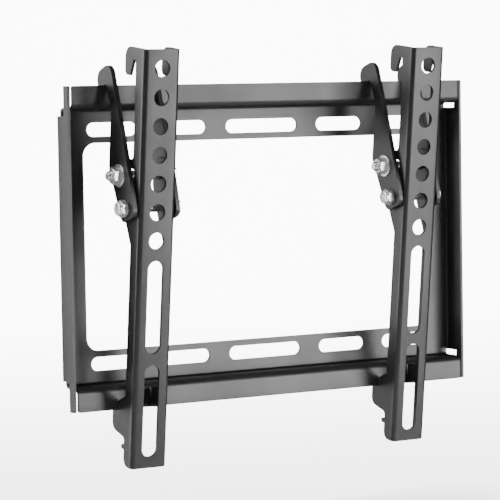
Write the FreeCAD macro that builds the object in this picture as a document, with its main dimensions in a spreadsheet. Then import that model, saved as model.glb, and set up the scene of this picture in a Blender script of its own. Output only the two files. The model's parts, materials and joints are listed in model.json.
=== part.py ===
"""Tilting wall mount for a flat screen: a folded wall plate that carries two tilting arms.

The wall lies at Y = 0 and the screen is towards -Y. The origin is the centre of the plate's back.
Each arm is a U-shaped bracket that hangs on two flat links. The links hook over the plate's top
lip, the bracket turns on the pivot bolt at their lower ends, and its foot takes the bottom lip.
"""
import FreeCAD, Part
import math
import os
import Sketcher
from FreeCAD import Placement, Rotation, Vector

doc = FreeCAD.newDocument("tilting_wall_mount")
sheet = doc.addObject("Spreadsheet::Sheet", "sizes")

SIZES = (
    # wall plate
    ("plate_width", 250.0),         # over the side flanges
    ("plate_depth", 15.0),          # wall to the front of the lips
    ("plate_sheet", 1.5),           # sheet thickness
    ("plate_bend", 1.2),            # inner radius of the folds
    ("lip_height", 13.0),           # inner face of a ledge to the edge of its lip
    ("lip_bend", 2.5),              # inner radius of the fold between a ledge and its lip
    ("side_gap", 2.8),              # end of a side flange short of the ledge's inner face
    ("ear_depth", 5.2),             # strip of a side flange that runs on beside the lips
    ("lip_end_gap", 1.2),           # between a lip's end and the ear beside it
    ("lip_corner", 1.2),            # rounded corners of the lips and ears
    ("window_width", 220.0),
    ("window_height", 111.0),
    ("window_corner", 7.0),
    ("window_band", 3.35),          # sheet between the window and a row of wall slots
    ("row_band", 6.65),             # sheet between a row of wall slots and the ledge
    ("wall_slot_height", 7.5),
    ("centre_slot_length", 45.6),
    ("side_slot_length", 30.0),
    ("slot_bridge", 12.4),          # sheet left between two slots of a row
    # bracket
    ("left_inset", 36.1),           # end of the plate to the middle of the arm nearest to it
    ("right_inset", 48.9),
    ("arm_width", 21.0),
    ("arm_sheet", 1.6),
    ("arm_bend", 0.9),              # inner radius of the folds
    ("flange_depth", 9.5),          # web front to the back of a flange
    ("hole_dia", 8.8),
    ("hole_pitch", 15.0),
    ("hole_count", 7),
    ("first_hole", 10.0),           # below the top of the bracket
    ("slot_web", 6.1),              # sheet left between the two long slots
    ("end_web", 6.0),               # sheet left below the lower slot
    ("hook_depth", 22.0),           # hooks at the top of the flanges
    ("hook_reach", 15.0),
    ("hook_throat", 6.5),
    ("hook_gap", 2.6),
    ("hook_flare", 3.3),
    ("hook_round", 5.5),
    ("hook_step", 3.9),             # right hook short of the left one
    ("small_round", 0.8),
    ("ear_top", 58.5),              # ears at the pivot, below the top of the bracket
    ("ear_bottom", 103.5),
    ("ear_waist", 91.0),
    ("ear_waist_depth", 16.3),
    ("ear_margin", 3.2),            # sheet left round the arc slot
    ("ear_round", 3.0),
    ("horn_width", 3.0),            # horn of the foot behind the bottom lip
    ("foot_horn", 8.5),             # horn above the bottom of the notch
    ("land_height", 5.5),           # land before the lip, above the bottom of the notch
    ("land_slope", 4.0),
    ("foot_back", 10.0),            # lowest point of the foot's back, below the notch
    ("foot_heel", 11.4),            # underside of the foot, below the notch
    ("foot_land", 12.8),
    ("nub_drop", 16.7),             # stamped nub below the notch
    ("nub_height", 2.6),
    ("nub_depth", 3.2),
    ("toe_round", 4.5),
    ("toe_drop", 28.1),             # bottom of the bracket below the notch
    # tilt linkage
    ("tilt", 6.6),                  # lean of the bracket in degrees
    ("link_lean", 18.1),            # lean of the links in degrees
    ("link_length", 67.5),          # top lip to pivot
    ("pivot_down", 83.8),           # pivot below the top of the bracket
    ("pivot_depth", 10.0),          # pivot behind the front of the web
    ("lock_down", 49.6),            # lock bolt below the top lip, along the link
    ("link_sheet", 2.5),
    ("link_front", 9.6),            # front edge before the line of lip and pivot
    ("link_hook_top", 9.5),
    ("link_hook_back", 7.8),
    ("link_finger", 7.5),
    ("link_neck", 2.6),
    ("link_neck_down", 13.4),
    ("link_belly", 10.8),
    ("link_belly_down", 42.0),
    ("link_toe", 6.6),              # sheet round the pivot
    ("link_toe_front", 8.2),
    ("link_hook_round", 6.0),
    ("link_round", 4.5),
    ("lip_clearance", 0.4),         # round a lip, in a link's hook and in a foot's notch
    # fasteners
    ("bolt_dia", 5.0),
    ("bolt_fit", 0.1),              # round a bolt, in radius
    ("slot_fit", 0.4),              # round the lock bolt in the arc slot, in radius
    ("hex_width", 8.0),
    ("head_height", 3.5),
    ("nut_height", 4.0),
    ("lock_nut_height", 5.0),
    ("bolt_end", 2.6),              # lock bolt past its nut
    ("tip_chamfer", 0.6),
    ("washer_dia", 12.2),
    ("washer_sheet", 1.0),
    ("spacer_dia", 9.6),
    ("spacer_sheet", 0.8),
    ("slide_gap", 0.05),            # spacer to flange
)


class Size:
    """A length or an angle in degrees, with its value and the sheet formula that gives it."""

    def __init__(self, value, text):
        self.value = value
        self.text = text

    def __add__(self, other):
        other = as_size(other)
        return Size(self.value + other.value, "(%s + %s)" % (self.text, other.text))

    def __sub__(self, other):
        other = as_size(other)
        return Size(self.value - other.value, "(%s - %s)" % (self.text, other.text))

    def __mul__(self, other):
        other = as_size(other)
        return Size(self.value * other.value, "(%s * %s)" % (self.text, other.text))

    def __truediv__(self, other):
        other = as_size(other)
        return Size(self.value / other.value, "(%s / %s)" % (self.text, other.text))

    def __neg__(self):
        return Size(-self.value, "(0 - %s)" % self.text)


def as_size(number):
    """A bare number as a size."""
    return number if isinstance(number, Size) else Size(float(number), repr(float(number)))


def sine(angle):
    """Sine of an angle in degrees."""
    return Size(math.sin(math.radians(angle.value)), "sin(%s * 1 deg)" % angle.text)


def cosine(angle):
    """Cosine of an angle in degrees."""
    return Size(math.cos(math.radians(angle.value)), "cos(%s * 1 deg)" % angle.text)


def arc_sine(ratio):
    """Angle in degrees whose sine is the ratio."""
    return Size(math.degrees(math.asin(ratio.value)), "(asin(%s) / 1 deg)" % ratio.text)


size = {}
for row, (alias, number) in enumerate(SIZES, start=1):
    sheet.set("A%d" % row, alias.replace("_", " "))
    sheet.set("B%d" % row, str(number))
    sheet.setAlias("B%d" % row, alias)
    size[alias] = Size(float(number), "sizes.%s" % alias)
doc.recompute()

NONE = as_size(0)


def bind(target, prop, value):
    """Tie a property to the sheet."""
    target.setExpression(prop, value.text)


def origin_plane(body, role):
    """One of a body's own base planes."""
    return [f for f in body.Origin.OriginFeatures if f.Role == role][0]


def new_body(label):
    """Empty body that is named for its piece."""
    body = doc.addObject("PartDesign::Body", label)
    body.Label = label
    return body


def new_sketch(body, name, role):
    """Sketch on one of the body's base planes."""
    sketch = body.newObject("Sketcher::SketchObject", name)
    sketch.AttachmentSupport = [(origin_plane(body, role), "")]
    sketch.MapMode = "FlatFace"
    return sketch


def hold(sketch, geometry, point, u, v):
    """Fix a point of the sketch at two coordinates from the sheet."""
    for kind, value in (("DistanceX", u), ("DistanceY", v)):
        place = sketch.addConstraint(Sketcher.Constraint(kind, -1, 1, geometry, point, value.value))
        sketch.setExpression("Constraints[%d]" % place, value.text)


def draw_outline(sketch, corners):
    """Closed outline of straight lines through the corners."""
    first = sketch.GeometryCount
    points = [Vector(u.value, v.value, 0) for u, v in corners]
    count = len(points)
    for i in range(count):
        sketch.addGeometry(Part.LineSegment(points[i], points[(i + 1) % count]), False)
    for i in range(count):
        follower = first + (i + 1) % count
        sketch.addConstraint(Sketcher.Constraint("Coincident", first + i, 2, follower, 1))
    for i, (u, v) in enumerate(corners):
        hold(sketch, first + i, 1, u, v)


def draw_box(sketch, left, right, low, high):
    """Rectangle between four coordinates."""
    draw_outline(sketch, ((left, low), (right, low), (right, high), (left, high)))


def shift_sketch(sketch, distance):
    """Moves a sketch along the normal of its plane."""
    sketch.AttachmentOffset = Placement(Vector(0, 0, distance.value), Rotation())
    bind(sketch, "AttachmentOffset.Base.z", distance)


def draw_circle(sketch, u, v, radius):
    """Circle with its centre at two coordinates."""
    ring = Part.Circle(Vector(u.value, v.value, 0), Vector(0, 0, 1), radius.value)
    geometry = sketch.addGeometry(ring, False)
    hold(sketch, geometry, 3, u, v)
    place = sketch.addConstraint(Sketcher.Constraint("Radius", geometry, radius.value))
    sketch.setExpression("Constraints[%d]" % place, radius.text)


def draw_hexagon(sketch, width):
    """Hexagon round the origin, with two flats level."""
    flat = width / 2
    half_side = width / (2 * math.sqrt(3))
    point = half_side * 2
    draw_outline(sketch, ((point, NONE), (half_side, flat), (-half_side, flat),
                          (-point, NONE), (-half_side, -flat), (half_side, -flat)))


def extrude(body, kind, name, sketch, length, side="One side", back=False):
    """Pad or pocket of a sketch, and a check that it changed the body."""
    before = body.Shape.Volume if body.Tip else 0.0
    feature = body.newObject("PartDesign::" + kind, name)
    feature.Profile = sketch
    feature.Type = "Length"
    feature.SideType = side
    feature.Reversed = back
    feature.Length = length.value
    bind(feature, "Length", length)
    doc.recompute()
    if abs(body.Shape.Volume - before) < 1e-3:
        raise RuntimeError("%s of %s changes nothing" % (name, body.Label))
    return feature


def round_edges(body, name, axis, spots, radius, longest=math.inf):
    """Fillet the edges along an axis, up to a length, that pass through the given spots across it."""
    base = body.Tip
    across = [i for i in range(3) if i != axis]
    names = []
    for number, edge in enumerate(base.Shape.Edges, start=1):
        start, end = edge.Vertexes[0].Point, edge.Vertexes[-1].Point
        along = (end - start)[axis]
        if abs(abs(along) - (end - start).Length) > 1e-6 or not 1e-6 < abs(along) < longest:
            continue
        for spot in spots:
            if all(abs(start[k] - value.value) < 1e-4 for k, value in zip(across, spot)):
                names.append("Edge%d" % number)
    if not names:
        raise RuntimeError("%s of %s finds no edge" % (name, body.Label))
    fillet = body.newObject("PartDesign::Fillet", name)
    fillet.Base = (base, names)
    fillet.Radius = radius.value
    bind(fillet, "Radius", radius)
    doc.recompute()
    return fillet


def place(target, x, y, z, lean=None):
    """Put a piece in the part's frame, turned about X by the lean in degrees."""
    angle = lean.value if lean else 0.0
    target.Placement = Placement(Vector(x.value, y.value, z.value), Rotation(Vector(1, 0, 0), angle))
    for axis, value in (("x", x), ("y", y), ("z", z)):
        bind(target, "Placement.Base." + axis, value)
    if lean:
        target.setExpression("Placement.Rotation.Angle", "%s * 1 deg" % lean.text)


# The wall plate's main lines.
half_width = size["plate_width"] / 2
half_opening = size["window_height"] / 2
row_middle = half_opening + size["window_band"] + size["wall_slot_height"] / 2
half_tray = row_middle + size["wall_slot_height"] / 2 + size["row_band"]
half_height = half_tray + size["lip_height"]
plate_height = half_height * 2
plate_sheet = size["plate_sheet"]
plate_front = -size["plate_depth"]
lip_back = plate_front + plate_sheet
lip_middle = plate_front + plate_sheet / 2
outer_bend = size["plate_bend"] + plate_sheet

# The tilt linkage in side view, from the top lip down to the pivot and on to the foot's notch.
tilt = size["tilt"]
swing = size["link_lean"]
reach = size["link_length"] * sine(swing)
drop = plate_height - size["link_length"] * cosine(swing) + size["lip_clearance"]
notch_down = reach * sine(tilt) + drop * cosine(tilt)
notch_back = reach * cosine(tilt) - drop * sine(tilt)
arm_length = size["pivot_down"] + notch_down + size["toe_drop"]
pivot_y = lip_middle - size["link_length"] * sine(swing)
pivot_z = half_height - size["link_length"] * cosine(swing)
lock_y = lip_middle - size["lock_down"] * sine(swing)
lock_z = half_height - size["lock_down"] * cosine(swing)
lock_radius = size["link_length"] - size["lock_down"]
lock_turn = swing + tilt

# The stack along the bolts, from the middle of an arm outwards.
half_arm = size["arm_width"] / 2
link_inner = half_arm + size["slide_gap"] + size["spacer_sheet"]
link_outer = link_inner + size["link_sheet"]
washer_outer = link_outer + size["washer_sheet"]
bolt_radius = size["bolt_dia"] / 2
hole_radius = size["hole_dia"] / 2


def build_wall_plate():
    """Folded plate: rails at the top and bottom, flanges with ears at the sides, window and slots."""
    body = new_body("wall_plate")
    ledge = half_tray + plate_sheet
    rails = new_sketch(body, "rail_section", "YZ_Plane")
    draw_outline(rails, (
        (NONE, -ledge), (NONE, ledge), (lip_back, ledge), (lip_back, half_height),
        (plate_front, half_height), (plate_front, half_tray), (-plate_sheet, half_tray),
        (-plate_sheet, -half_tray), (plate_front, -half_tray), (plate_front, -half_height),
        (lip_back, -half_height), (lip_back, -ledge)))
    rail_half = half_width - plate_sheet - size["lip_end_gap"]
    extrude(body, "Pad", "rails", rails, rail_half * 2, "Symmetric")
    for fold, radius, inner, outer in (
            ("ledge", size["plate_bend"], (-plate_sheet, half_tray), (NONE, ledge)),
            ("lip", size["lip_bend"], (lip_back, ledge), (plate_front, half_tray))):
        for name, spot, bend in (("inner", inner, radius), ("outer", outer, radius + plate_sheet)):
            round_edges(body, "%s_%s_bends" % (fold, name), 0, [spot, (spot[0], -spot[1])], bend)
    corners = [(side, tip) for side in (rail_half, -rail_half) for tip in (half_height, -half_height)]
    round_edges(body, "lip_corners", 1, corners, size["lip_corner"])

    sides = new_sketch(body, "side_section", "XY_Plane")
    strip = half_width - outer_bend - size["lip_end_gap"] - plate_sheet
    for sign in (1, -1):
        draw_outline(sides, (
            (strip * sign, NONE), (half_width * sign, NONE), (half_width * sign, plate_front),
            ((half_width - plate_sheet) * sign, plate_front),
            ((half_width - plate_sheet) * sign, -plate_sheet), (strip * sign, -plate_sheet)))
    extrude(body, "Pad", "side_flanges", sides, (half_tray - size["side_gap"]) * 2, "Symmetric")
    round_edges(body, "side_inner_bends", 2,
                [((half_width - plate_sheet) * sign, -plate_sheet) for sign in (1, -1)], size["plate_bend"])
    round_edges(body, "side_outer_bends", 2, [(half_width * sign, NONE) for sign in (1, -1)], outer_bend)

    ears = new_sketch(body, "ear_section", "XY_Plane")
    for sign in (1, -1):
        draw_box(ears, (half_width - plate_sheet) * sign, half_width * sign,
                 plate_front, plate_front + size["ear_depth"])
    extrude(body, "Pad", "ears", ears, plate_height, "Symmetric")
    round_edges(body, "ear_corners", 0, [(plate_front, half_height), (plate_front, -half_height)],
                size["lip_corner"], plate_sheet.value * 2)

    window = new_sketch(body, "window_outline", "XZ_Plane")
    half_window = size["window_width"] / 2
    draw_box(window, -half_window, half_window, -half_opening, half_opening)
    extrude(body, "Pocket", "window", window, plate_sheet * 4, "Symmetric")
    round_edges(body, "window_corners", 1,
                [(a, b) for a in (half_window, -half_window) for b in (half_opening, -half_opening)],
                size["window_corner"])

    slots = new_sketch(body, "wall_slots_outline", "XZ_Plane")
    end = size["wall_slot_height"] / 2
    first = size["centre_slot_length"] / 2
    start = first + size["slot_bridge"]
    step = size["side_slot_length"] + size["slot_bridge"]
    spans = [(-first, first)]
    for sign in (1, -1):
        for shift in (NONE, step):
            ends = ((start + shift) * sign, (start + shift + size["side_slot_length"]) * sign)
            spans.append(ends)
    for middle in (row_middle, -row_middle):
        for left, right in spans:
            draw_box(slots, left, right, middle - end, middle + end)
    extrude(body, "Pocket", "wall_slots", slots, plate_sheet * 4, "Symmetric")
    spots = [(x, middle + up) for middle in (row_middle, -row_middle)
             for span in spans for x in span for up in (end, -end)]
    round_edges(body, "wall_slot_ends", 1, spots, end - 0.01)
    return body


def build_bracket(label, middle):
    """Bracket of one arm, drawn round its pivot: the outline is that of its two flanges."""
    body = new_body(label)
    front = -size["pivot_depth"]
    top = size["pivot_down"]
    bottom = top - arm_length
    rear = front + size["flange_depth"]
    notch = -notch_down
    lip_half = plate_sheet / 2 + size["lip_clearance"]
    notch_front = notch_back - lip_half
    notch_rear = notch_back + lip_half
    land = notch + size["land_height"]
    slope = land + size["land_slope"]
    horn_rear = notch_rear + size["foot_horn"] * sine(tilt)
    horn = notch + size["foot_horn"]
    foot = horn_rear + size["horn_width"]
    hook = front + size["hook_depth"]
    throat = top - size["hook_throat"]
    finger = top - size["hook_reach"]
    gap_front = rear + size["small_round"]
    gap_rear = gap_front + size["hook_gap"]
    ear_rear = lock_radius * sine(lock_turn) + bolt_radius + size["slot_fit"] + size["ear_margin"]
    ear_low = (lock_radius + bolt_radius) * cosine(lock_turn) - bolt_radius - size["ear_margin"] * 2
    ear_top = top - size["ear_top"]
    ear_bottom = top - size["ear_bottom"]
    waist = front + size["ear_waist_depth"]
    nub_top = notch - size["nub_drop"]
    nub_low = nub_top - size["nub_height"]
    flange = new_sketch(body, "flange_outline", "YZ_Plane")
    corners = {
        "web_top": (front, top), "hook_top": (hook, top), "hook_end": (hook, finger),
        "finger_tip": (gap_rear + size["hook_flare"], finger), "throat_rear": (gap_rear, throat),
        "throat_front": (gap_front, throat), "neck": (rear, finger - size["hook_throat"]),
        "ear_start": (rear, ear_top), "ear_top": (ear_rear, ear_top), "ear_low": (ear_rear, ear_low),
        "ear_waist": (waist, top - size["ear_waist"]), "ear_end": (rear, ear_bottom),
        "land_start": (rear, slope), "land_top": (notch_front, land),
        "notch_front": (notch_front, notch), "notch_rear": (notch_rear, notch),
        "horn_front": (horn_rear, horn), "horn_rear": (foot, horn),
        "foot_back": (foot, notch - size["foot_back"]),
        "foot_heel": (foot - size["foot_back"] / 2, notch - size["foot_heel"]),
        "foot_land": (rear, notch - size["foot_land"]),
        "nub_start": (rear, nub_top), "nub_top": (rear + size["nub_depth"], nub_top),
        "nub_low": (rear + size["nub_depth"], nub_low), "nub_end": (rear, nub_low),
        "toe": (rear, bottom), "web_bottom": (front, bottom)}
    draw_outline(flange, list(corners.values()))
    extrude(body, "Pad", "flange_block", flange, size["arm_width"], "Symmetric")
    for name, radius, group in (
            ("hook_rounding", size["hook_round"], ("hook_top",)),
            ("hook_end_rounding", size["ear_round"], ("hook_end", "ear_start", "ear_end", "land_top")),
            ("horn_rounding", size["horn_width"] * 0.7, ("horn_rear",)),
            ("small_rounding", size["small_round"],
             ("finger_tip", "throat_rear", "throat_front", "notch_front", "notch_rear", "horn_front")),
            ("ear_rounding", size["ear_round"] * 2, ("ear_top", "ear_low", "ear_waist")),
            ("foot_rounding", size["toe_round"], ("foot_back", "toe")),
            ("foot_land_rounding", (size["nub_drop"] - size["foot_land"]) * 0.7, ("foot_land",)),
            ("nub_rounding", size["nub_height"] / 2 - 0.05, ("nub_top", "nub_low"))):
        round_edges(body, name, 0, [corners[corner] for corner in group], radius)

    channel = new_sketch(body, "channel_outline", "XY_Plane")
    inner = half_arm - size["arm_sheet"]
    web_back = front + size["arm_sheet"]
    draw_box(channel, -inner, inner, web_back, foot + size["arm_sheet"])
    extrude(body, "Pocket", "channel", channel, arm_length * 3, "Symmetric")
    round_edges(body, "inner_bends", 2, [(inner, web_back), (-inner, web_back)], size["arm_bend"])
    round_edges(body, "outer_bends", 2, [(half_arm, front), (-half_arm, front)],
                size["arm_bend"] + size["arm_sheet"])

    spare = new_sketch(body, "right_foot_outline", "XY_Plane")
    draw_box(spare, inner - size["arm_bend"], half_arm + size["arm_bend"], rear, foot + size["arm_sheet"])
    shift_sketch(spare, slope)
    extrude(body, "Pocket", "right_foot", spare, slope - bottom)

    short, step = hook - size["hook_step"], size["hook_step"]
    past, above = hook + size["arm_sheet"], top + size["arm_sheet"]
    bare = new_sketch(body, "right_hook_space", "YZ_Plane")
    draw_outline(bare, ((gap_front - step, above), (past, above), (past, corners["neck"][1]), corners["neck"],
                        (gap_front - step, throat)))
    shift_sketch(bare, half_arm + size["arm_bend"])
    extrude(body, "Pocket", "right_hook_cut", bare, size["arm_sheet"] + size["arm_bend"] * 2)
    bent = new_sketch(body, "right_hook_outline", "YZ_Plane")
    turns = {
        "root_top": (gap_front - step - size["arm_sheet"], top), "hook_top": (short, top), "hook_end": (short, finger),
        "finger_tip": (gap_rear + size["hook_flare"] - step, finger), "throat_rear": (gap_rear - step, throat),
        "throat_front": (gap_front - step - size["arm_sheet"], throat)}
    draw_outline(bent, list(turns.values()))
    shift_sketch(bent, inner)
    extrude(body, "Pad", "right_hook", bent, size["arm_sheet"])
    round_edges(body, "right_hook_rounding", 0, [turns["hook_top"]], size["hook_round"])
    round_edges(body, "right_hook_end_rounding", 0, [turns["hook_end"]], size["ear_round"])
    round_edges(body, "right_throat_rounding", 0,
                [turns["finger_tip"], turns["throat_rear"], (gap_front - step, throat)], size["small_round"])

    web_cut = size["pivot_depth"] * 2 + size["arm_sheet"] * 2
    first = top - size["first_hole"]
    row = new_sketch(body, "screen_hole", "XZ_Plane")
    draw_circle(row, NONE, first, hole_radius)
    hole = extrude(body, "Pocket", "screen_holes", row, web_cut, "Symmetric")
    pattern = body.newObject("PartDesign::LinearPattern", "hole_row")
    pattern.Originals = [hole]
    pattern.Direction = (row, ["V_Axis"])
    pattern.Reversed = True
    pattern.Mode = "Extent"
    pattern.Length = (size["hole_pitch"] * (size["hole_count"] - 1)).value
    bind(pattern, "Length", size["hole_pitch"] * (size["hole_count"] - 1))
    pattern.Occurrences = int(size["hole_count"].value)
    bind(pattern, "Occurrences", size["hole_count"])
    body.Tip = pattern
    doc.recompute()

    slots = new_sketch(body, "screen_slots_outline", "XZ_Plane")
    high = first - size["hole_pitch"] * size["hole_count"]
    lowest = bottom + size["end_web"] + hole_radius
    slot_run = (high - lowest - size["hole_dia"] - size["slot_web"]) / 2
    second = high - slot_run - size["hole_dia"] - size["slot_web"]
    spots = []
    for start in (high, second):
        upper, lower = start + hole_radius, start - slot_run - hole_radius
        draw_box(slots, -hole_radius, hole_radius, lower, upper)
        spots += [(x, z) for x in (-hole_radius, hole_radius) for z in (lower, upper)]
    extrude(body, "Pocket", "screen_slots", slots, web_cut, "Symmetric")
    round_edges(body, "screen_slot_ends", 1, spots, hole_radius - 0.01)

    pins = new_sketch(body, "pin_holes", "YZ_Plane")
    draw_circle(pins, NONE, NONE, bolt_radius + size["bolt_fit"])
    draw_circle(pins, NONE, lock_radius, bolt_radius + size["slot_fit"])
    draw_circle(pins, lock_radius * sine(lock_turn), lock_radius * cosine(lock_turn),
                bolt_radius + size["slot_fit"])
    pin_cut = size["arm_width"] * 2
    extrude(body, "Pocket", "pins", pins, pin_cut, "Symmetric")
    sector = new_sketch(body, "arc_slot_section", "XZ_Plane")
    draw_box(sector, -half_arm, half_arm, lock_radius - bolt_radius - size["slot_fit"],
             lock_radius + bolt_radius + size["slot_fit"])
    before = body.Shape.Volume
    groove = body.newObject("PartDesign::Groove", "arc_slot")
    groove.Profile = sector
    groove.ReferenceAxis = (sector, ["H_Axis"])
    groove.Angle = lock_turn.value
    groove.setExpression("Angle", "%s * 1 deg" % lock_turn.text)
    groove.Reversed = True
    doc.recompute()
    if before - body.Shape.Volume < 1e-3:
        raise RuntimeError("the arc slot cuts nothing")
    place(body, middle, pivot_y, pivot_z, tilt)
    return body


def build_link(label, middle, side):
    """Flat link of one side of an arm, drawn hanging straight down from the lip."""
    body = new_body(label)
    slot_half = plate_sheet / 2 + size["lip_clearance"]
    finger_rear = slot_half + size["link_finger"] * sine(swing)
    toe = -size["link_length"] - size["link_toe"]
    front = -size["link_front"]
    corners = {
        "top_front": (front, size["link_hook_top"]),
        "top_back": (size["link_hook_back"], size["link_hook_top"]),
        "finger_back": (size["link_hook_back"], -size["link_finger"]),
        "finger_front": (finger_rear, -size["link_finger"]),
        "slot_rear": (slot_half, size["lip_clearance"]), "slot_front": (-slot_half, size["lip_clearance"]),
        "neck": (-size["link_neck"], -size["link_neck_down"]),
        "belly": (size["link_belly"], -size["link_belly_down"]),
        "toe_back": (size["link_toe"], toe), "toe_front": (-size["link_toe_front"], toe),
        "shin": (front, -size["lock_down"] - size["link_front"])}
    side_view = new_sketch(body, "link_outline", "YZ_Plane")
    draw_outline(side_view, list(corners.values()))
    draw_circle(side_view, NONE, -size["link_length"], bolt_radius + size["bolt_fit"])
    draw_circle(side_view, NONE, -size["lock_down"], bolt_radius + size["bolt_fit"])
    extrude(body, "Pad", "link_sheet", side_view, size["link_sheet"], "One side", side < 0)
    for name, radius, group in (
            ("hook_rounding", size["link_hook_round"], ("top_front", "top_back")),
            ("belly_rounding", size["link_round"], ("neck", "belly", "shin", "toe_back", "toe_front")),
            ("finger_rounding", size["link_round"] / 3, ("finger_back", "finger_front")),
            ("slot_rounding", size["lip_clearance"] / 2, ("slot_rear", "slot_front"))):
        round_edges(body, name, 0, [corners[corner] for corner in group], radius)
    place(body, middle + link_inner * side, lip_middle, half_height, -swing)
    return body


def build_bolt(label, middle, y, z, head_seat, tip):
    """Hexagon bolt along X with its head at the right, from the head's seat to the tip."""
    body = new_body(label)
    head = new_sketch(body, "head_outline", "YZ_Plane")
    draw_hexagon(head, size["hex_width"])
    extrude(body, "Pad", "head", head, size["head_height"])
    shank = new_sketch(body, "shank_outline", "YZ_Plane")
    draw_circle(shank, NONE, NONE, bolt_radius)
    extrude(body, "Pad", "shank", shank, head_seat + tip, "One side", True)
    base = body.Tip
    ends = ["Edge%d" % number for number, edge in enumerate(base.Shape.Edges, start=1)
            if abs(edge.CenterOfMass.x + (head_seat + tip).value) < 1e-6]
    chamfer = body.newObject("PartDesign::Chamfer", "tip_chamfer")
    chamfer.Base = (base, ends)
    chamfer.Size = size["tip_chamfer"].value
    bind(chamfer, "Size", size["tip_chamfer"])
    doc.recompute()
    place(body, middle + head_seat, y, z, -swing)
    return body


def build_nut(label, middle, y, z, seat, height):
    """Hexagon nut on the left end of a bolt."""
    body = new_body(label)
    section = new_sketch(body, "nut_outline", "YZ_Plane")
    draw_hexagon(section, size["hex_width"])
    draw_circle(section, NONE, NONE, bolt_radius)
    extrude(body, "Pad", "nut", section, height, "One side", True)
    place(body, middle - seat, y, z, -swing)
    return body


def build_rings(label, middle, y, z, seat, thickness, diameter):
    """Pair of like washers on a bolt, one at each side of the arm."""
    rings = []
    for side in ("left", "right"):
        disc = doc.addObject("Part::Cylinder", "%s_%s_disc" % (label, side))
        bore = doc.addObject("Part::Cylinder", "%s_%s_bore" % (label, side))
        for cylinder, radius in ((disc, diameter / 2), (bore, bolt_radius + size["bolt_fit"])):
            bind(cylinder, "Radius", radius)
            bind(cylinder, "Height", thickness)
            start = middle + seat if side == "right" else middle - seat - thickness
            cylinder.Placement = Placement(Vector(start.value, y.value, z.value), Rotation(Vector(0, 1, 0), 90))
            for axis, value in (("x", start), ("y", y), ("z", z)):
                bind(cylinder, "Placement.Base." + axis, value)
        ring = doc.addObject("Part::Cut", "%s_%s" % (label, side))
        ring.Base = disc
        ring.Tool = bore
        rings.append(ring)
    pair = doc.addObject("Part::Compound", label)
    pair.Label = label
    pair.Links = rings
    return pair


pieces = [build_wall_plate()]
for name, middle in (("left", size["left_inset"] - half_width), ("right", half_width - size["right_inset"])):
    pieces += [
        build_bracket(name + "_bracket", middle),
        build_link(name + "_link_left", middle, -1),
        build_link(name + "_link_right", middle, 1),
        build_bolt(name + "_pivot_bolt", middle, pivot_y, pivot_z,
                   link_outer, link_outer + size["lock_nut_height"] - size["tip_chamfer"]),
        build_nut(name + "_pivot_nut", middle, pivot_y, pivot_z, link_outer, size["lock_nut_height"]),
        build_rings(name + "_pivot_spacers", middle, pivot_y, pivot_z,
                    half_arm + size["slide_gap"], size["spacer_sheet"], size["spacer_dia"]),
        build_bolt(name + "_lock_bolt", middle, lock_y, lock_z,
                   washer_outer, washer_outer + size["nut_height"] + size["bolt_end"]),
        build_nut(name + "_lock_nut", middle, lock_y, lock_z, washer_outer, size["nut_height"]),
        build_rings(name + "_lock_washers", middle, lock_y, lock_z,
                    link_outer, size["washer_sheet"], size["washer_dia"]),
        build_rings(name + "_friction_washers", middle, lock_y, lock_z,
                    half_arm + size["slide_gap"], size["spacer_sheet"], size["spacer_dia"]),
    ]
doc.recompute()

for item in doc.Objects:
    if "Invalid" in item.State or "Error" in item.State:
        raise RuntimeError("%s failed" % item.Label)
for piece in pieces:
    if piece.Shape.isNull() or not piece.Shape.isValid():
        raise RuntimeError("%s has no valid shape" % piece.Label)

os.makedirs("parts", exist_ok=True)
for piece in pieces:
    piece.Shape.exportStep("parts/%s.step" % piece.Label)
    print(piece.Label, len(piece.Shape.Solids), round(piece.Shape.Volume, 1))
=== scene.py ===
"""Looks of a tilting wall mount: a folded plate, two hooked arms on links, and zinc fasteners."""

import json
from contextlib import contextmanager
from typing import NamedTuple

import bmesh
import bpy
import numpy as np
from bpy.props import FloatProperty, FloatVectorProperty, PointerProperty
from mathutils import Matrix, Vector

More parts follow.
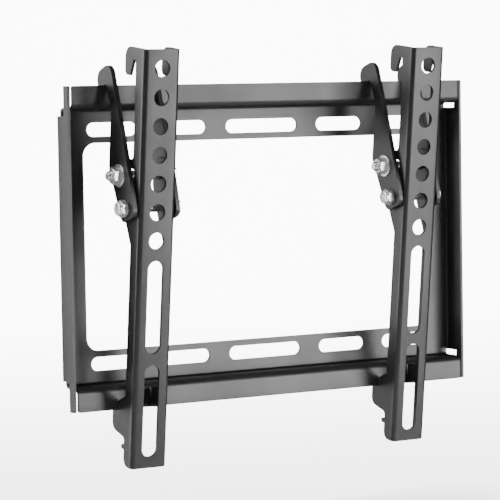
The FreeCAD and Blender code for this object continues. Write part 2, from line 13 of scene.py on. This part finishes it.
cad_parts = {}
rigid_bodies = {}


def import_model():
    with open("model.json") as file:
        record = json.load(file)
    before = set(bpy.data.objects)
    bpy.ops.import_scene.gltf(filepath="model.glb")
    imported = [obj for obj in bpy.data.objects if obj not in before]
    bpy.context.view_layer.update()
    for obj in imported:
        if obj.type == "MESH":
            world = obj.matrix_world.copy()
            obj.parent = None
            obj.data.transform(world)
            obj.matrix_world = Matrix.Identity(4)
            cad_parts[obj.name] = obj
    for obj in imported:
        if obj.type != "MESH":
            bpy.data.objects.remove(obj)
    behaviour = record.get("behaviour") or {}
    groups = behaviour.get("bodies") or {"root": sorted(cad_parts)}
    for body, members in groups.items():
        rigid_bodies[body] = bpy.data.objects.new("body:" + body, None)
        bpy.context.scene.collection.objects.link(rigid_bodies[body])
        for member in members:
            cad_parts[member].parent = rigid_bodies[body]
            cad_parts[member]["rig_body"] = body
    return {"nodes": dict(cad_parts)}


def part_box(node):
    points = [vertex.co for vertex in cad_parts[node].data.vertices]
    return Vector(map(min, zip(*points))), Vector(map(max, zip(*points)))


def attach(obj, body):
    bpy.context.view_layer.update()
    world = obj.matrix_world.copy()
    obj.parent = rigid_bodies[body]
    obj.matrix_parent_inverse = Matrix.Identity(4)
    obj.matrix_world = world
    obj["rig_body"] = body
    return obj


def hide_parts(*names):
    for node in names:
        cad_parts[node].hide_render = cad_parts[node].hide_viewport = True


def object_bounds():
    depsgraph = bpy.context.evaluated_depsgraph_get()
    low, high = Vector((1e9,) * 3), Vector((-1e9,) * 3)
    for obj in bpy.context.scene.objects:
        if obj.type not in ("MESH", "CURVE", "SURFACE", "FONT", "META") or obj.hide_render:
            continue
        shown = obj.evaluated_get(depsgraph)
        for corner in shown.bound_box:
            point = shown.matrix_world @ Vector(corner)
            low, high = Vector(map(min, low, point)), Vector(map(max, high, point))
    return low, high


bl_info = {
    "name": "Tilting Wall Mount",
    "version": (1, 0, 0),
    "blender": (4, 5, 0),
    "location": "View3D > Sidebar > Wall Mount",
    "description": "Sheet pieces, fasteners and studio of a tilting wall mount",
    "category": "Object",
}

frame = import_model()
CAD_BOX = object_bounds()
ARMS = ("left", "right")

# Lengths are in metres and angles in radians.

# Sheets
SHEET_WELD = 1e-6  # corners of the CAD triangles that are nearer than this become one
FLAT_ANGLE = 0.004  # faces that meet at less than this become one
SHARP_ANGLE = 0.6  # edges that bend by more than this are rounded
EDGE_STEPS = 3  # faces across a rounded edge

# Land of an arm's right flange, as places behind and above the pivot along the bracket
TILT = np.radians(6.6)
FLANGE_SHEET = 0.0016
LAND_OUTLINE = np.array(
    [
        (-0.0015, -0.1075),
        (-0.0005, -0.1075),
        (0.00724, -0.1094),
        (0.00724, -0.0982),
        (-0.0005, -0.0966),
        (-0.0015, -0.0966),
    ]
)

# Fasteners; a share is a part of the width across the flats
FULL_TURN = 2.0 * np.pi
RING_POINTS = 72
ANGLES = np.linspace(0.0, FULL_TURN, RING_POINTS, endpoint=False)
RING_WELD = 1e-7  # points that are nearer than this become one, so rings of no radius close an end
RIDGE_ANGLE = 0.5  # edges that bend by more than this stay sharp
CONE_SHARE = 0.475  # where the cone that cuts a hexagon's end starts
CONE_ANGLE = np.radians(30.0)
DISH_SHARE, DISH_DEPTH = 0.43, 0.00012  # hollow in the top of a bolt's head
THREAD_START = 0.0004  # from a bolt's tip to its first ring of thread
THREAD_STEPS = 8  # rings in one turn of the thread
LEAD_START, LEAD_RUN = 0.0002, 0.0009  # where the thread begins to rise, and how far it rises
CREST_GAIN, ROOT_CUT = 1.35, 0.1  # how the wave is stretched, so that crests and roots are flat
TIP_CUT = 0.00015  # how far a tip is drawn in under the thread's root
RUN_OUT = 0.0003  # from the end of the thread to the full shank
BORE_GRIP = 0.00005  # how far a nut's bore stands into the thread's crests
MOUTH = 0.0003  # depth and width of the cut round a bore's mouth
COLLAR_SHARE, COLLAR_BEND, COLLAR_STEPS = 0.46, 0.0007, 6  # width, rounding and rings of a collar
WELL_DEPTH = 0.0006  # step inside a collar, down to its bore
WELL_RIM, WELL_FOOT = 0.0002, 0.0001  # width of the step past the mouth, at its top and foot
CORNER_STEPS = 5  # rings round each corner of a washer

# Surface grain: a fine and a slow noise
FINE_DETAIL, FINE_ROUGHNESS = 2.0, 0.45
SLOW_SCALE, SLOW_DETAIL = 38.0, 3.0
FINE_SHARE = 0.25  # of the fine noise that is added to the slow one for the roughness
GRAIN_LOW, GRAIN_HIGH = 0.35, 0.90  # range of that sum
RELIEF_DEPTH = 0.0001
GRAIN_SOCKETS = {"INPUT": ("Scale", "Low", "High"), "OUTPUT": ("Roughness", "Tone", "Height")}


class Finish(NamedTuple):
    """How a finish follows the surface grain."""

    dark: float  # darkest tone, as a share of the colour
    low: float  # least roughness
    high: float  # greatest roughness
    relief: float  # strength of the relief
    metallic: float


FINISHES = {
    "powder_coat": Finish(dark=0.86, low=0.34, high=0.42, relief=0.16, metallic=0.0),
    "zinc": Finish(dark=0.72, low=0.13, high=0.36, relief=0.60, metallic=0.88),
    "nylon": Finish(dark=0.90, low=0.45, high=0.55, relief=0.05, metallic=0.0),
}

# Studio
CAMERA_PLACE = (-0.65576, -1.12205, 0.08350)
CAMERA_FORWARD = Vector((0.49881, 0.86396, -0.06907)).normalized()
CAMERA_RIGHT = Vector((0.86534, -0.50092, -0.01650))
CAMERA_SENSOR, CAMERA_LENS = 36.0, 168.75  # in millimetres
CAMERA_CLIP = (0.05, 20.0)
AHEAD = Vector((CAMERA_FORWARD.x, CAMERA_FORWARD.y, 0.0)).normalized()
FLOOR_GAP = 0.03  # from the floor to the lowest point of the part
FLOOR_LEVEL = CAD_BOX[0].z - FLOOR_GAP
SHEET_REACH = 12.0  # of the floor and wall to either side, and of the floor towards the camera
FLOOR_END = 1.2  # where the floor ends behind the part
WALL_BEND, WALL_TOP = 0.6, 3.0  # radius of the wall's foot, and the wall's height
BEND_POINTS = 17
PALE_ROUGHNESS = 0.9
AIR_STRENGTH = 1.12


class Lamp(NamedTuple):
    """A soft rectangular light."""

    name: str
    place: tuple
    aim: tuple
    size: tuple
    power: float


PIECE_LAMPS = (
    Lamp("studio_front", (0.66, -1.08, 0.00), (0.0, 0.0, 0.0), (0.55, 0.80), 20.0),
    Lamp("studio_side", (-0.72, 0.50, 0.15), (-0.11, -0.04, 0.0), (0.5, 0.9), 10.0),
    Lamp("studio_fill", (-0.80, -0.55, 1.30), (-0.05, -0.03, 0.0), (1.0, 0.8), 9.0),
    Lamp("studio_bounce", (0.05, -0.27, FLOOR_LEVEL + 0.01), (0.05, -0.27, 0.0), (0.9, 0.45), 1.3),
)
ROOM_LAMPS = (
    Lamp("studio_backdrop", (0.25, 0.60, 1.5), (0.65, 1.65, 1.15), (3.0, 0.5), 330.0),
    Lamp("studio_overhead", (0.45, 0.85, 1.6), (0.45, 0.85, 0.0), (2.0, 1.0), 130.0),
)


def length(name, description, default):
    """A size in metres, shown as a length."""
    return FloatProperty(
        name=name, description=description, default=default, unit="LENGTH", precision=5, min=0.0
    )


def colour(name, description, default):
    """A linear colour."""
    return FloatVectorProperty(
        name=name, description=description, default=default, subtype="COLOR", min=0.0, max=1.0
    )


class MountSizes(bpy.types.PropertyGroup):
    """Sizes of the details that the looks add to the pieces."""

    sheet_edge: length("Sheet edge", "Greatest rounding of the folded sheets' edges", 0.00035)
    link_edge: length("Link edge", "Greatest rounding of the flat links' edges", 0.0004)
    hex_flats: length("Hexagon", "Width across the flats of bolt heads and nuts", 0.008)
    head_height: length("Head height", "Height of a bolt's head", 0.0035)
    collar_height: length("Collar height", "Height of the collar on a pivot's lock nut", 0.0014)
    bolt_radius: length("Bolt radius", "Outer radius of the threads", 0.0025)
    thread_pitch: length("Thread pitch", "Distance between two turns of the thread", 0.0008)
    thread_depth: length("Thread depth", "From the crest of the thread to its root", 0.00045)
    thread_run: length("Thread run", "Length of the threaded end of a bolt", 0.016)
    washer_thickness: length("Washer thickness", "Thickness of a zinc washer", 0.001)
    washer_bore: length("Washer bore", "Radius of the hole in a zinc washer", 0.00265)
    spacer_thickness: length("Spacer thickness", "Thickness of a nylon spacer", 0.0008)
    spacer_bore: length("Spacer bore", "Radius of the hole in a nylon spacer", 0.0026)
    ring_edge: length("Ring edge", "Rounding of the edges of washers and spacers", 0.00022)
    powder_coat_grain: length("Coat grain", "Size of the grain of the powder coat", 0.0011)
    zinc_grain: length("Zinc grain", "Size of the grain of the zinc plate", 1.0 / 1900.0)
    nylon_grain: length("Nylon grain", "Size of the grain of the nylon", 1.0 / 900.0)


class MountColours(bpy.types.PropertyGroup):
    """Colours of the finishes and of the studio."""

    powder_coat: colour("Powder coat", "Dark grey satin powder coat", (0.0078, 0.0079, 0.0082))
    zinc: colour("Zinc", "Bright zinc plate", (0.93, 0.94, 0.95))
    nylon: colour("Nylon", "Spacers between the links and the arms", (0.020, 0.020, 0.021))
    floor: colour("Floor", "Pale studio floor", (0.97, 0.97, 0.97))


def grain_group():
    """Fine grain and slow unevenness of a surface, made once from two noises on Object coordinates:
    the tone is the slow noise, the relief the fine one, and the roughness follows their sum."""
    name = "Surface Grain"
    if name in bpy.data.node_groups:
        return bpy.data.node_groups[name]
    tree = bpy.data.node_groups.new(name, "ShaderNodeTree")
    for direction, labels in GRAIN_SOCKETS.items():
        for label in labels:
            tree.interface.new_socket(name=label, in_out=direction, socket_type="NodeSocketFloat")
    nodes, links = tree.nodes, tree.links
    given, out = nodes.new("NodeGroupInput"), nodes.new("NodeGroupOutput")
    place = nodes.new("ShaderNodeTexCoord")
    fine, slow = nodes.new("ShaderNodeTexNoise"), nodes.new("ShaderNodeTexNoise")
    fine.inputs["Detail"].default_value = FINE_DETAIL
    fine.inputs["Roughness"].default_value = FINE_ROUGHNESS
    slow.inputs["Scale"].default_value = SLOW_SCALE
    slow.inputs["Detail"].default_value = SLOW_DETAIL
    links.new(place.outputs["Object"], fine.inputs["Vector"])
    links.new(place.outputs["Object"], slow.inputs["Vector"])
    links.new(given.outputs["Scale"], fine.inputs["Scale"])
    total = nodes.new("ShaderNodeMath")
    total.operation = "MULTIPLY_ADD"
    total.inputs[1].default_value = FINE_SHARE
    links.new(fine.outputs["Fac"], total.inputs[0])
    links.new(slow.outputs["Fac"], total.inputs[2])
    rough = nodes.new("ShaderNodeMapRange")
    rough.inputs["From Min"].default_value = GRAIN_LOW
    rough.inputs["From Max"].default_value = GRAIN_HIGH
    links.new(total.outputs[0], rough.inputs["Value"])
    links.new(given.outputs["Low"], rough.inputs["To Min"])
    links.new(given.outputs["High"], rough.inputs["To Max"])
    links.new(rough.outputs["Result"], out.inputs["Roughness"])
    links.new(slow.outputs["Fac"], out.inputs["Tone"])
    links.new(fine.outputs["Fac"], out.inputs["Height"])
    return tree


def material_for(slot):
    """A slot's finish, made once: its colour, roughness and relief follow the surface grain."""
    name = "mount_" + slot
    if name in bpy.data.materials:
        return bpy.data.materials[name]
    scene = bpy.context.scene
    finish = FINISHES[slot]
    base = tuple(getattr(scene.mount_colours, slot))
    material = bpy.data.materials.new(name)
    material.use_nodes = True
    nodes, links = material.node_tree.nodes, material.node_tree.links
    shader = nodes["Principled BSDF"]
    shader.inputs["Metallic"].default_value = finish.metallic
    grain = nodes.new("ShaderNodeGroup")
    grain.node_tree = grain_group()
    grain.inputs["Scale"].default_value = 1.0 / getattr(scene.mount_sizes, slot + "_grain")
    grain.inputs["Low"].default_value = finish.low
    grain.inputs["High"].default_value = finish.high
    links.new(grain.outputs["Roughness"], shader.inputs["Roughness"])
    tone = nodes.new("ShaderNodeMix")
    tone.data_type = "RGBA"
    tone.inputs["A"].default_value = (*[part * finish.dark for part in base], 1.0)
    tone.inputs["B"].default_value = (*base, 1.0)
    links.new(grain.outputs["Tone"], tone.inputs["Factor"])
    links.new(tone.outputs["Result"], shader.inputs["Base Color"])
    relief = nodes.new("ShaderNodeBump")
    relief.inputs["Strength"].default_value = finish.relief
    relief.inputs["Distance"].default_value = RELIEF_DEPTH
    links.new(grain.outputs["Height"], relief.inputs["Height"])
    links.new(relief.outputs["Normal"], shader.inputs["Normal"])
    return material


@contextmanager
def editing(mesh):
    """Opens a mesh for bmesh operations and writes the result back to it."""
    work = bmesh.new()
    try:
        work.from_mesh(mesh)
        yield work
        work.to_mesh(mesh)
    finally:
        work.free()


def linked(name, data):
    """A new object with the data, linked to the scene."""
    item = bpy.data.objects.new(name, data)
    bpy.context.scene.collection.objects.link(item)
    return item


def add_piece(mesh, name, slot, node):
    """Links a mesh as a finished piece that stands for a CAD node and moves with its body."""
    if not mesh.polygons:
        raise RuntimeError(name + " has no faces")
    piece = linked(name, mesh)
    mesh.materials.clear()
    mesh.materials.append(material_for(slot))
    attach(piece, frame["nodes"][node]["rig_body"])
    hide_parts(node)
    return piece


def middle_of(node):
    """Middle of a CAD node in Y and Z."""
    low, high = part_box(node)
    return (low.y + high.y) / 2.0, (low.z + high.z) / 2.0


def land_mesh(arm):
    """Land of an arm's right flange: its outline, places behind and above the pivot along the
    bracket, is turned by the tilt and carried through the flange's thickness."""
    cosine, sine = np.cos(TILT), np.sin(TILT)
    turned = LAND_OUTLINE @ np.array([[cosine, sine], [-sine, cosine]])
    section = turned + middle_of(arm + "_pivot_bolt")
    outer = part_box(arm + "_bracket")[1].x
    n = len(section)
    across = np.repeat([outer - FLANGE_SHEET, outer], n)
    points = np.column_stack([across, np.tile(section, (2, 1))])
    k = np.arange(n)
    after = (k + 1) % n
    sides = np.stack([k, after, after + n, k + n], axis=-1)
    mesh = bpy.data.meshes.new(arm + "_land")
    ends = [k[::-1].tolist(), (k + n).tolist()]
    mesh.from_pydata(points.tolist(), [], sides.tolist() + ends)
    return mesh


def united(mesh, extra):
    """A CAD copy, merged first, and an extra closed form as one closed mesh, in place of both."""
    with editing(mesh) as work:
        bmesh.ops.remove_doubles(work, verts=work.verts, dist=SHEET_WELD)
    base, added = linked(mesh.name, mesh), linked(extra.name, extra)
    union = base.modifiers.new("Union", "BOOLEAN")
    union.operation = "UNION"
    union.solver = "EXACT"
    union.object = added
    graph = bpy.context.evaluated_depsgraph_get()
    out = bpy.data.meshes.new_from_object(base.evaluated_get(graph))
    for item in (base, added):
        bpy.data.objects.remove(item)
    for item in (mesh, extra):
        bpy.data.meshes.remove(item)
    return out


def add_sheet(node, name, width, extra=None):
    """Adds a merged copy of a CAD sheet, with an extra form where one is given, whose sharp edges
    are rounded as a coat rounds them. Short edges can make the rounding narrower than the width."""
    mesh = frame["nodes"][node].data.copy()
    if extra:
        mesh = united(mesh, extra)
    mesh.name = name
    with editing(mesh) as work:
        bmesh.ops.remove_doubles(work, verts=work.verts, dist=SHEET_WELD)
        bmesh.ops.dissolve_limit(
            work, angle_limit=FLAT_ANGLE, verts=work.verts, edges=work.edges
        )
    mesh.shade_smooth()
    if mesh.has_custom_normals:
        mesh.attributes.remove(mesh.attributes["custom_normal"])
    piece = add_piece(mesh, name, "powder_coat", node)
    bevel = piece.modifiers.new("Coated edge", "BEVEL")
    bevel.width = width
    bevel.segments = EDGE_STEPS
    bevel.limit_method = "ANGLE"
    bevel.angle_limit = SHARP_ANGLE
    bevel.harden_normals = True
    bevel.miter_outer = "MITER_ARC"


def rings(along, radius):
    """Rings about the axis: places along it and distances from it, a row for each ring and a column
    for each angle. A number stands for all angles, and a column for one number a ring."""
    return np.stack(np.broadcast_arrays(along, radius, ANGLES[None, :])[:2])


def ring_mesh(name, blocks, middle, closed):
    """Blocks of rings about an axis along X, through the middle, as one mesh: a point is at its
    place along the axis and at its distance from it, at its column's angle. Neighbouring rings are
    joined by quads, and so are the last and the first if closed; a ring of no radius closes an
    end."""
    along, radius = np.concatenate(blocks, axis=1)
    count, n = radius.shape
    y = middle[0] + radius * np.cos(ANGLES)
    z = middle[1] + radius * np.sin(ANGLES)
    points = np.stack([along, y, z], axis=-1).reshape(-1, 3)
    k, j = np.meshgrid(np.arange(count if closed else count - 1), np.arange(n), indexing="ij")
    up, side = (k + 1) % count, (j + 1) % n
    quads = np.stack([k * n + j, k * n + side, up * n + side, up * n + j], axis=-1)
    mesh = bpy.data.meshes.new(name)
    mesh.from_pydata(points.tolist(), [], quads.reshape(-1, 4).tolist())
    with editing(mesh) as work:
        bmesh.ops.remove_doubles(work, verts=work.verts, dist=RING_WELD)
        bmesh.ops.recalc_face_normals(work, faces=work.faces)
    mesh.shade_smooth()
    mesh.set_sharp_from_angle(angle=RIDGE_ANGLE)
    return mesh


def hexagon(flats):
    """Distance from a hexagon's axis to its edge at each angle: half the flats over the cosine of
    the angle from the middle of the nearest flat."""
    half = np.pi / 6.0
    return flats / 2.0 / np.cos((ANGLES + half) % (2.0 * half) - half)


def hex_end(end, way, flats):
    """End of a hexagon that is cut by a cone, facing the given way: the side stops short of the end
    by the tangent of the cone's angle times what the hexagon stands out past the cone's start."""
    edge, inner = hexagon(flats), flats * CONE_SHARE
    drop = (edge - inner) * np.tan(CONE_ANGLE)
    return np.concatenate([rings(end - way * drop, edge), rings(end, inner)], axis=1)


def bolt_mesh(name, tip, seat, head, middle, sizes):
    """A bolt along X with a plain shank and a dished hexagon head. Its thread's radius is a
    triangle wave, cut flat at crests and roots, of the turns along the axis less the turns round
    it."""
    way = np.sign(seat - tip)
    radius, depth, flats = sizes.bolt_radius, sizes.thread_depth, sizes.hex_flats
    root = radius - depth
    step = sizes.thread_pitch / THREAD_STEPS
    reach = np.arange(THREAD_START, sizes.thread_run, step)[:, None]
    wave = np.abs((reach / sizes.thread_pitch - ANGLES / FULL_TURN) % 1.0 * 2.0 - 1.0)
    rise = np.clip((reach - LEAD_START) / LEAD_RUN, 0.0, 1.0)
    thread = root + depth * np.clip(wave * CREST_GAIN - ROOT_CUT, 0.0, 1.0) * rise
    dish = head - way * DISH_DEPTH
    blocks = [
        rings(tip, 0.0),
        rings(tip, root - TIP_CUT),
        rings(tip + way * reach, thread),
        rings(tip + way * (sizes.thread_run + RUN_OUT), radius),
        rings(seat, radius),
        rings(seat, hexagon(flats)),
        hex_end(head, way, flats),
        rings(dish, flats * DISH_SHARE),
        rings(dish, 0.0),
    ]
    return ring_mesh(name, blocks, middle, closed=False)


def nut_mesh(name, seat, end, middle, sizes, collar):
    """A hexagon nut along X with both ends cut by cones and its bore opened out at the mouths. A
    collar of some height is a ring beyond the hexagon whose rim is a quarter turn of the bend's
    radius, with a step inside it."""
    way = np.sign(end - seat)
    flats = sizes.hex_flats
    bore, mouth = sizes.bolt_radius - BORE_GRIP, sizes.bolt_radius + MOUTH
    top = end - way * collar
    blocks = [
        rings(seat + way * MOUTH, bore),
        rings(seat, mouth),
        hex_end(seat, -way, flats)[:, ::-1],
        hex_end(top, way, flats),
    ]
    if collar:
        wide, well = flats * COLLAR_SHARE, end - way * WELL_DEPTH
        bend = np.linspace(0.0, np.pi / 2.0, COLLAR_STEPS)[:, None]
        short = COLLAR_BEND * (1.0 - np.sin(bend))
        narrow = COLLAR_BEND * (1.0 - np.cos(bend))
        blocks += [
            rings(top, wide),
            rings(end - way * short, wide - narrow),
            rings(end, mouth + WELL_RIM),
            rings(well, mouth + WELL_FOOT),
            rings(well, bore),
        ]
    else:
        blocks += [rings(end, mouth), rings(end - way * MOUTH, bore)]
    return ring_mesh(name, blocks, middle, closed=True)


def washer_mesh(name, low, high, inner, outer, edge, middle):
    """A washer along X between low and high: its section runs round four corners, each a quarter
    turn of the edge's radius about a place that far inside both faces."""
    along = np.array([high - edge, high - edge, low + edge, low + edge])[:, None]
    radius = np.array([outer - edge, inner + edge, inner + edge, outer - edge])[:, None]
    turn = (np.arange(4)[:, None] + np.linspace(0.0, 1.0, CORNER_STEPS)) * np.pi / 2.0
    section = along + edge * np.sin(turn), radius + edge * np.cos(turn)
    blocks = [rings(*(part.reshape(-1, 1) for part in section))]
    return ring_mesh(name, blocks, middle, closed=True)


def joined(name, meshes):
    """Several meshes as one, in place of them."""
    work = bmesh.new()
    for mesh in meshes:
        work.from_mesh(mesh)
    out = bpy.data.meshes.new(name)
    work.to_mesh(out)
    work.free()
    for mesh in meshes:
        bpy.data.meshes.remove(mesh)
    return out


class MOUNT_OT_wall_plate(bpy.types.Operator):
    """Adds the folded wall plate with rounded coated edges"""

    bl_idname = "mount.wall_plate"
    bl_label = "Wall Plate"

    def execute(self, context):
        add_sheet("wall_plate", "plate_sheet", context.scene.mount_sizes.sheet_edge)
        return {"FINISHED"}


class MOUNT_OT_brackets(bpy.types.Operator):
    """Adds the two folded brackets with rounded coated edges and a land on each right flange"""

    bl_idname = "mount.brackets"
    bl_label = "Brackets"

    def execute(self, context):
        edge = context.scene.mount_sizes.sheet_edge
        for arm in ARMS:
            add_sheet(arm + "_bracket", arm + "_bracket_sheet", edge, land_mesh(arm))
        return {"FINISHED"}


class MOUNT_OT_links(bpy.types.Operator):
    """Adds the four flat links with rounded coated edges"""

    bl_idname = "mount.links"
    bl_label = "Links"

    def execute(self, context):
        edge = context.scene.mount_sizes.link_edge
        for arm in ARMS:
            for side in ("left", "right"):
                node = f"{arm}_link_{side}"
                add_sheet(node, node + "_sheet", edge)
        return {"FINISHED"}


class MOUNT_OT_bolts(bpy.types.Operator):
    """Adds the threaded bolts with hexagon heads"""

    bl_idname = "mount.bolts"
    bl_label = "Bolts"

    def execute(self, context):
        sizes = context.scene.mount_sizes
        for arm in ARMS:
            for kind in ("pivot_bolt", "lock_bolt"):
                node = f"{arm}_{kind}"
                name = node + "_thread"
                low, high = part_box(node)
                seat = high.x - sizes.head_height
                mesh = bolt_mesh(name, low.x, seat, high.x, middle_of(node), sizes)
                add_piece(mesh, name, "zinc", node)
        return {"FINISHED"}


class MOUNT_OT_nuts(bpy.types.Operator):
    """Adds the hexagon nuts, with a collar on the pivots' lock nuts"""

    bl_idname = "mount.nuts"
    bl_label = "Nuts"

    def execute(self, context):
        sizes = context.scene.mount_sizes
        for arm in ARMS:
            for kind, collar in (("pivot_nut", sizes.collar_height), ("lock_nut", 0.0)):
                node = f"{arm}_{kind}"
                name = node + "_hex"
                low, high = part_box(node)
                mesh = nut_mesh(name, high.x, low.x, middle_of(node), sizes, collar)
                add_piece(mesh, name, "zinc", node)
        return {"FINISHED"}


class MOUNT_OT_rings(bpy.types.Operator):
    """Adds the washers and spacers, in pairs, with rounded edges"""

    bl_idname = "mount.rings"
    bl_label = "Washers and Spacers"

    def execute(self, context):
        sizes = context.scene.mount_sizes
        washer = ("zinc", sizes.washer_thickness, sizes.washer_bore)
        spacer = ("nylon", sizes.spacer_thickness, sizes.spacer_bore)
        kinds = {"lock_washers": washer, "friction_washers": spacer, "pivot_spacers": spacer}
        for arm in ARMS:
            for kind, (slot, thickness, inner) in kinds.items():
                node = f"{arm}_{kind}"
                name = node + "_turned"
                low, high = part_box(node)
                outer = (high.z - low.z) / 2.0
                shape = (inner, outer, sizes.ring_edge, middle_of(node))
                pair = [
                    washer_mesh(node, start, start + thickness, *shape)
                    for start in (low.x, high.x - thickness)
                ]
                add_piece(joined(name, pair), name, slot, node)
        return {"FINISHED"}


def swept_sheet(name, far, high, material):
    """A wide sheet whose section, places ahead of the part as the camera looks and heights, is
    carried by the sheet's reach to either side."""
    aside = np.array((AHEAD.y, -AHEAD.x, 0.0))
    sides = np.array([-SHEET_REACH, SHEET_REACH])
    points = far[:, None, None] * np.array(AHEAD) + sides[None, :, None] * aside
    points[..., 2] += high[:, None]
    k = 2 * np.arange(len(far) - 1)
    quads = np.stack([k, k + 1, k + 3, k + 2], axis=-1)
    mesh = bpy.data.meshes.new(name)
    mesh.from_pydata(points.reshape(-1, 3).tolist(), [], quads.tolist())
    mesh.shade_smooth()
    mesh.materials.append(material)
    sheet = linked(name, mesh)
    sheet.visible_glossy = False
    return sheet


def add_backdrop(pale_colour):
    """A pale floor and a wall that rises from it in a quarter turn, both unseen in reflections."""
    pale = bpy.data.materials.new("studio_pale")
    pale.use_nodes = True
    shader = pale.node_tree.nodes["Principled BSDF"]
    shader.inputs["Base Color"].default_value = (*pale_colour, 1.0)
    shader.inputs["Roughness"].default_value = PALE_ROUGHNESS
    flat = np.array([-SHEET_REACH, FLOOR_END])
    floor = swept_sheet("studio_floor", flat, np.full(2, FLOOR_LEVEL), pale)
    turn = np.linspace(0.0, np.pi / 2.0, BEND_POINTS)
    far = np.append(FLOOR_END + WALL_BEND * np.sin(turn), FLOOR_END + WALL_BEND)
    high = np.append(WALL_BEND - WALL_BEND * np.cos(turn), WALL_TOP) + FLOOR_LEVEL
    return floor, swept_sheet("studio_wall", far, high, pale)


def add_lamp(lamp):
    """A soft rectangular light at its place, turned to face its aim."""
    data = bpy.data.lights.new(lamp.name, "AREA")
    data.shape = "RECTANGLE"
    data.size, data.size_y = lamp.size
    data.energy = lamp.power
    light = linked(lamp.name, data)
    light.location = lamp.place
    light.rotation_mode = "QUATERNION"
    light.rotation_quaternion = (Vector(lamp.aim) - Vector(lamp.place)).to_track_quat("-Z", "Y")
    return light


def add_lights(sheets):
    """Lights that reach the part alone, and lights of the room that don't show in reflections."""
    backdrop = bpy.data.collections.new("studio_backdrop")
    for sheet in sheets:
        backdrop.objects.link(sheet)
    for member in backdrop.collection_objects:
        member.light_linking.link_state = "EXCLUDE"
    piece_lights = [add_lamp(lamp) for lamp in PIECE_LAMPS]
    for light in piece_lights:
        light.light_linking.receiver_collection = backdrop
    room_lights = [add_lamp(lamp) for lamp in ROOM_LAMPS]
    for light in room_lights:
        light.visible_glossy = False
    return piece_lights + room_lights


def add_air(scene):
    """An even white surrounding that doesn't show in reflections."""
    world = bpy.data.worlds.new("studio_air")
    scene.world = world
    world.use_nodes = True
    background = world.node_tree.nodes["Background"]
    background.inputs["Color"].default_value = (1.0, 1.0, 1.0, 1.0)
    background.inputs["Strength"].default_value = AIR_STRENGTH
    world.cycles_visibility.glossy = False


def add_camera(scene):
    """The camera at the photograph's viewing angle."""
    data = bpy.data.cameras.new("studio_camera")
    data.sensor_width = CAMERA_SENSOR
    data.lens = CAMERA_LENS
    data.clip_start, data.clip_end = CAMERA_CLIP
    camera = linked("studio_camera", data)
    forward = CAMERA_FORWARD
    right = (CAMERA_RIGHT - forward * CAMERA_RIGHT.dot(forward)).normalized()
    turn = Matrix((right, right.cross(forward), -forward)).transposed().to_4x4()
    camera.matrix_world = Matrix.Translation(CAMERA_PLACE) @ turn
    scene.camera = camera
    return camera


class MOUNT_OT_studio(bpy.types.Operator):
    """Adds the pale floor, the soft lights and the camera at the photograph's angle"""

    bl_idname = "mount.studio"
    bl_label = "Studio"

    def execute(self, context):
        floor, wall = add_backdrop(context.scene.mount_colours.floor)
        lights = add_lights((floor, wall))
        add_air(context.scene)
        camera = add_camera(context.scene)
        return {"FINISHED"}


class MOUNT_PT_panel(bpy.types.Panel):
    """Lists the sizes, the colours, the pieces and the studio"""

    bl_idname = "MOUNT_PT_panel"
    bl_label = "Wall Mount"
    bl_space_type = "VIEW_3D"
    bl_region_type = "UI"
    bl_category = "Wall Mount"

    def draw(self, context):
        for group in (context.scene.mount_sizes, context.scene.mount_colours):
            for name in type(group).__annotations__:
                self.layout.prop(group, name)
        for operator in OPERATORS:
            self.layout.operator(operator.bl_idname)


OPERATORS = (
    MOUNT_OT_wall_plate,
    MOUNT_OT_brackets,
    MOUNT_OT_links,
    MOUNT_OT_bolts,
    MOUNT_OT_nuts,
    MOUNT_OT_rings,
    MOUNT_OT_studio,
)
CLASSES = (MountSizes, MountColours, *OPERATORS, MOUNT_PT_panel)


def register():
    """Registers the classes and gives the scene its sizes and colours."""
    for item in CLASSES:
        bpy.utils.register_class(item)
    bpy.types.Scene.mount_sizes = PointerProperty(type=MountSizes)
    bpy.types.Scene.mount_colours = PointerProperty(type=MountColours)


def unregister():
    """Takes back what register gave."""
    del bpy.types.Scene.mount_colours
    del bpy.types.Scene.mount_sizes
    for item in reversed(CLASSES):
        bpy.utils.unregister_class(item)


def main():
    """Builds every piece and the studio."""
    register()
    bpy.ops.mount.wall_plate()
    bpy.ops.mount.brackets()
    bpy.ops.mount.links()
    bpy.ops.mount.bolts()
    bpy.ops.mount.nuts()
    bpy.ops.mount.rings()
    bpy.ops.mount.studio()


if __name__ == "__main__":
    main()
